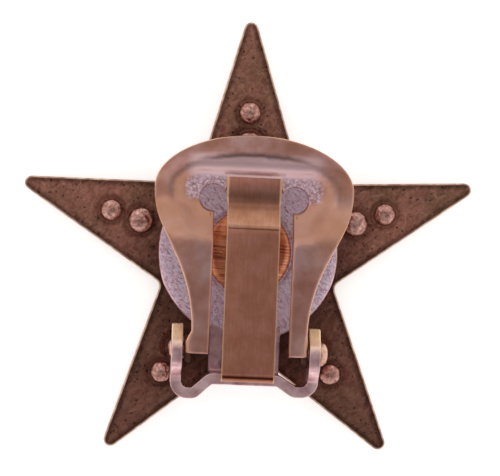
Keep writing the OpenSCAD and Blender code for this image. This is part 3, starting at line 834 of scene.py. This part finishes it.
where = add_node(pressed_copper, "ShaderNodeMath", {0: grit.outputs[0], 1: 0.5, 2: sunk.outputs["Fac"]},
                 operation="MULTIPLY_ADD")
patch = add_node(pressed_copper, "ShaderNodeMapRange", {
    0: where.outputs[0], 1: 1.12, 2: 1.28, 3: 0.0, 4: 0.85})
tint = mixed(pressed_copper, "MULTIPLY", 1.0, haze_tint.outputs[0], speck_mask.outputs[0])
# Painted highlight: gold where the sheet slopes.
tint = mixed(pressed_copper, "MIX", slope_highlight.outputs["Fac"], tint, linear("#bf8c6e"))
# Painted highlight: pale on the flat ledge over the sunk floor.
tint = mixed(pressed_copper, "MIX", shelf_highlight.outputs["Fac"], tint, linear("#e6c2c6"))
tint = mixed(pressed_copper, "MIX", patch.outputs[0], tint, rough_tint.outputs[0])
# A thin painted dark line along the brow's crest over the head stands in for a dark reflection, and the
# sheet outside it is painted darker as shade.
parts = add_node(pressed_copper, "ShaderNodeSeparateXYZ", {0: points})
crest_y = add_node(pressed_copper, "ShaderNodeMath", {
    0: haze.outputs[0], 1: 0.5, 2: parts.outputs["Y"]}, operation="MULTIPLY_ADD")
crest_x = add_node(pressed_copper, "ShaderNodeMath", {
    0: parts.outputs["X"], 1: PADDLE_SHIFT}, operation="SUBTRACT")
crest_sq = add_node(pressed_copper, "ShaderNodeMath", {0: crest_x.outputs[0], 1: 2.0}, operation="POWER")
crest_arc = add_node(pressed_copper, "ShaderNodeMath", {
    0: crest_sq.outputs[0], 1: 0.035, 2: crest_y.outputs[0]}, operation="MULTIPLY_ADD")
crest_line = add_node(pressed_copper, "ShaderNodeMapRange", {0: crest_arc.outputs[0], 1: 12.0, 2: 13.2})
crest_dark_reflection = add_node(pressed_copper, "ShaderNodeValToRGB", {0: crest_line.outputs[0]},
                      stops=[(0.30, 0.0), (0.46, 1.0), (0.54, 0.8), (0.70, 0.0)])
crest_end = add_node(pressed_copper, "ShaderNodeMapRange", {
    0: crest_sq.outputs[0], 1: 4.0, 2: 16.0, 3: 0.75, 4: 0.0})
crest_reflection_mark = add_node(pressed_copper, "ShaderNodeMath", {
    0: crest_dark_reflection.outputs[0], 1: crest_end.outputs[0]}, operation="MULTIPLY")
outer_side_shade = add_node(pressed_copper, "ShaderNodeMapRange", {
    0: crest_arc.outputs[0], 1: 12.3, 2: 13.2, 3: 1.0, 4: 0.74})
tint = mixed(pressed_copper, "MULTIPLY", 1.0, tint, outer_side_shade.outputs[0])
tint = mixed(pressed_copper, "MIX", crest_reflection_mark.outputs[0], tint, linear("#4a2a24"))
# Painted highlight: a thin bright line along the edges.
tint = mixed(pressed_copper, "MIX", edge_highlight.outputs["Fac"], tint, linear("#e8b894"))
relief = mixed(pressed_copper, "MIX", patch.outputs[0], haze.outputs[0], grit.outputs[0])
relief = mixed(pressed_copper, "ADD", 0.03, relief, grit.outputs[0])
sheen = add_node(pressed_copper, "ShaderNodeMapRange", {
    0: patch.outputs[0], 1: 0.0, 2: 1.0, 3: 0.33, 4: 0.46})
bare_metal(pressed_copper, tint, sheen.outputs[0], relief, 0.07)

# The blank is filled, inset along its edges and cut into a fine grid, and then pressed to its heights.
bpy.ops.object.select_all(action="DESELECT")
bpy.ops.mesh.primitive_circle_add(vertices=len(whole_loop) - 1, radius=1, fill_type="NGON")
paddle = bpy.context.object
paddle.name = "paddle_stamping"
for vertex, (x, y) in zip(paddle.data.vertices, whole_loop):
    vertex.co = (x, y, 0)
edit(paddle)
for step in (0.03, 0.05, 0.08, 0.10):
    pick(paddle, "FACE", lambda f: len(f.verts) > 40)
    bpy.ops.mesh.inset(thickness=step, depth=0, use_even_offset=True)
for axis, first, last in ((0, -6.15, 6.2), (1, -0.1, PADDLE_TOP)):
    place_along = first
    while place_along < last:
        bpy.ops.mesh.select_all(action="SELECT")
        line = [0.0, 0.0, 0.0]
        line[axis] = place_along
        bpy.ops.mesh.bisect(plane_co=line, plane_no=(1 - axis, axis, 0))
        place_along += GRID
bpy.ops.mesh.select_all(action="SELECT")
bpy.ops.mesh.extrude_region_move(TRANSFORM_OT_translate={"value": (0, 0, -1)})
bpy.ops.mesh.select_all(action="SELECT")
bpy.ops.mesh.normals_make_consistent(inside=False)
leave()
heights = {}
for vertex in paddle.data.vertices:
    x, y = vertex.co.x, vertex.co.y
    spot = (round(x, 4), round(y, 4))
    if spot not in heights:
        short = max(0.0, EDGE_R - gap_to(whole_loop, x, y))
        heights[spot] = (sheet_top(x, y), EDGE_R - math.sqrt(EDGE_R ** 2 - short ** 2))
    top, rounding = heights[spot]
    vertex.co.z = top - rounding if vertex.co.z > -0.5 else top - PADDLE_T + rounding

# Painted shade: the flanges hidden between the ears, under the legs' ends, are given a near-black copper
# colour that stands in for the shade there.
shade_dark_flange_copper = new_material("flange copper painted dark as shade")
points = millimetres(shade_dark_flange_copper, hinge, -clip_turn)
flange_noise = add_node(shade_dark_flange_copper, "ShaderNodeTexNoise", {"Vector": points, "Scale": 2.4, "Detail": 4.0})
flange_shade_tint = add_node(shade_dark_flange_copper, "ShaderNodeValToRGB", {0: flange_noise.outputs[0]},
                      stops=[(0.35, "#2c1b17"), (0.65, "#5a3a31")])
bare_metal(shade_dark_flange_copper, flange_shade_tint.outputs[0], 0.5, flange_noise.outputs[0], 0.03)

paddle.data.materials.clear()
paddle.data.materials.append(pressed_copper)
for side in (-1, 1):
    seat = (Matrix.Translation((-PADDLE_SHIFT, 0, hinge.z))
            @ Matrix.Rotation(math.radians(90 * side), 4, "Y"))
    flange = turned("flange", [
        (FLANGE_R - 0.10, FLANGE_INSIDE), (FLANGE_R - 0.03, FLANGE_INSIDE + 0.02),
        (FLANGE_R, FLANGE_INSIDE + 0.07), (FLANGE_R, FLANGE_X - 0.09),
        (FLANGE_R - 0.03, FLANGE_X - 0.03), (FLANGE_R - 0.10, FLANGE_X - 0.01)], 40)
    place(flange, seat)
    hole = turned("pin_hole", [(PIN_HOLE_R, FLANGE_INSIDE - 0.3), (PIN_HOLE_R, FLANGE_X + 0.3)], 32)
    place(hole, seat)
    combine(flange, [hole], "DIFFERENCE")
    flange.data.materials.clear()
    flange.data.materials.append(shade_dark_flange_copper)
    bpy.ops.object.select_all(action="DESELECT")
    flange.select_set(True)
    paddle.select_set(True)
    bpy.context.view_layer.objects.active = paddle
    bpy.ops.object.join()

# Each vertex says what its spot has: rough plating, and painted highlights on slopes, on the pale ledge and
# along edges.
plating_and_highlight_masks = {"sunk": [], "slope_highlight": [], "shelf_highlight": [], "edge_highlight": []}
for vertex in paddle.data.vertices:
    x, y = vertex.co.x, vertex.co.y
    corner = eased((11.3 - y) / 0.3) * eased((abs(x) - 1.5) / 0.4) * eased((y - 8.9) / 0.6)
    plating_and_highlight_masks["sunk"].append(sunk_at(x, y) * corner)
    upper = eased((y - 10.7) / 0.3) * eased((12.6 - y) / 0.5) * eased((4.6 - abs(x)) / 1.0)
    plating_and_highlight_masks["shelf_highlight"].append(0.75 * upper)
    below = (1 - upper) * eased((11.5 - y) / 1.0)
    plating_and_highlight_masks["slope_highlight"].append(0.55 * eased(slope_at(x, y) / 0.35) * below)
    edge = max(0.0, 1 - gap_to(whole_loop, x, y) / 0.08)
    bright = vertex.co.z > LEG_Z - 1.6 and y > 0.2 and (y < 8.7 or abs(x) > 4.5 or y > 11.5)
    plating_and_highlight_masks["edge_highlight"].append(edge if bright else 0.0)
for name, values in plating_and_highlight_masks.items():
    paddle.data.attributes.new(name, "FLOAT", "POINT").data.foreach_set("value", values)
smooth(paddle, 42)
paddle_frame = clip_frame @ Matrix.Translation((PADDLE_SHIFT, 0, 0))
place(paddle, paddle_frame)
fix_on(paddle, "paddle", "clip_copper", "paddle")

# --------------------------------------------------------- Spring tongue
# The springy strip that snaps over the crossbar is sheared from the same sheet: flat between the
# slots, ramped up to a dented crease where it flexes, then straight, with its end curled under.
TONGUE_W = 3.32
TONGUE_T = 0.45
CREASE_Y, CREASE_Z = 7.75, 5.20
END_Y, END_Z = -1.675, 5.89
DENT_END = 0.16
CURL_R = 0.4
CURL_DROP = 0.775
RISE = 0.0218

# Rolled spring copper: brown, with a faint lengthwise grain. Painted light and shade follow its bends: a
# gold highlight on the ramp, dark in the crease and on the bend out of the sunk floor, dark on the fold into
# its curled end with a bright tip, and a thin tan highlight painted along both edges.
spring_copper = new_material("rolled spring copper")
points = millimetres(spring_copper, clip_frame @ Vector((PADDLE_SHIFT, 0, hinge.z)), -clip_turn)
rolling = add_node(spring_copper, "ShaderNodeTexNoise", {
    "Vector": stretched(spring_copper, points, 0.0, (5.0, 0.5, 1.0)),
    "Scale": 1.6, "Detail": 5.0, "Roughness": 0.65})
mottle = add_node(spring_copper, "ShaderNodeTexNoise", {
    "Vector": points, "Scale": 0.9, "Detail": 4.0, "Roughness": 0.6})
rolled_tint = add_node(spring_copper, "ShaderNodeValToRGB", {0: mottle.outputs[0]},
                       stops=[(0.36, "#c6947a"), (0.50, "#d09e82"), (0.64, "#d6a690")])
grain_shade = add_node(spring_copper, "ShaderNodeValToRGB", {0: rolling.outputs[0]},
                       stops=[(0.35, 0.86), (0.65, 1.0)])
tint = mixed(spring_copper, "MULTIPLY", 1.0, rolled_tint.outputs[0], grain_shade.outputs[0])
parts = add_node(spring_copper, "ShaderNodeSeparateXYZ", {0: points})
# Painted highlight: a tan line along both edges.
aside = add_node(spring_copper, "ShaderNodeMath", {0: parts.outputs["X"]}, operation="ABSOLUTE")
edge_highlight_band = add_node(spring_copper, "ShaderNodeMapRange", {
    0: aside.outputs[0], 1: TONGUE_W / 2 - 0.09, 2: TONGUE_W / 2 - 0.02, 3: 0.0, 4: 0.7})
# Painted light and shade along the bends: gold on the ramp, dark in the crease and on the bend out of the
# sunk floor.
along = add_node(spring_copper, "ShaderNodeMapRange", {0: parts.outputs["Y"], 1: 7.0, 2: 11.0})
bend_light_and_shade = add_node(spring_copper, "ShaderNodeValToRGB", {0: along.outputs[0]}, stops=[
    (0.155, "#d1b9b9"), (0.175, "#7a5c52"), (0.20, "#fff8f4"), (0.26, "#fcf0e8"), (0.45, "#ecdcd0"),
    (0.60, "#988888"), (0.72, "#a49496"), (0.95, "#dcc6d0")])
tint = mixed(spring_copper, "MULTIPLY", 1.0, tint, bend_light_and_shade.outputs[0])
# Painted shade on the fold into the curled end, with a painted highlight at its very end.
curl = add_node(spring_copper, "ShaderNodeMapRange", {0: parts.outputs["Y"], 1: -2.0, 2: -1.0})
curl_light_and_shade = add_node(spring_copper, "ShaderNodeValToRGB", {0: curl.outputs[0]}, stops=[
    (0.25, "#ffe4c8"), (0.36, "#5a443c"), (0.46, "#6a5046"), (0.58, "#ffffff")])
tint = mixed(spring_copper, "MULTIPLY", 1.0, tint, curl_light_and_shade.outputs[0])
tint = mixed(spring_copper, "MIX", edge_highlight_band.outputs[0], tint, linear("#e8bd96"))
bare_metal(spring_copper, tint, 0.36, rolling.outputs[0], 0.02)

floor_top = sheet_top(3.0, 10.9)
tongue_line = rounded([(11.05, floor_top - 0.03 - TONGUE_T / 2), (9.25, floor_top + 0.03 - TONGUE_T / 2),
                       (CREASE_Y + 0.12, CREASE_Z)], [0, 1.3, 0], 8, closed=False)
tongue_line += [Vector((CREASE_Y + 0.04, CREASE_Z - 0.03)), Vector((CREASE_Y - 0.06, CREASE_Z - 0.02)),
                Vector((CREASE_Y - DENT_END, CREASE_Z + 0.02))]
tongue_line += [Vector((CREASE_Y - DENT_END - 0.3 * k, CREASE_Z + 0.02 + RISE * k)) for k in range(1, 30)]
tongue_line += rounded([tuple(tongue_line[-1]), (END_Y, END_Z), (END_Y, END_Z - CURL_DROP)],
                       [0, CURL_R, 0], 8, closed=False)[1:]
tongue_frame = clip_frame @ Matrix.Translation((PADDLE_SHIFT, 0, 0))
tongue = drawn_strip("tongue_strip", [(-TONGUE_W / 2, 0, 0), (TONGUE_W / 2, 0, 0)],
                     [(0, p.x, p.y) for p in tongue_line])
for vertex in tongue.data.vertices:
    vertex.co.x *= 1 + 0.045 * eased((vertex.co.y - 9.0) / 0.8)
modify(tongue, "SOLIDIFY", thickness=TONGUE_T, offset=0, use_even_offset=True)
edit(tongue)
bpy.ops.mesh.select_all(action="SELECT")
bpy.ops.mesh.normals_make_consistent(inside=False)
leave()
modify(tongue, "BEVEL", width=0.11, segments=3, limit_method="ANGLE", angle_limit=math.radians(50))
tongue.data.materials.append(spring_copper)
smooth(tongue, 40)
place(tongue, Matrix.Scale(MM, 4) @ tongue_frame)
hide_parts("spring_tongue")
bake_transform(tongue)
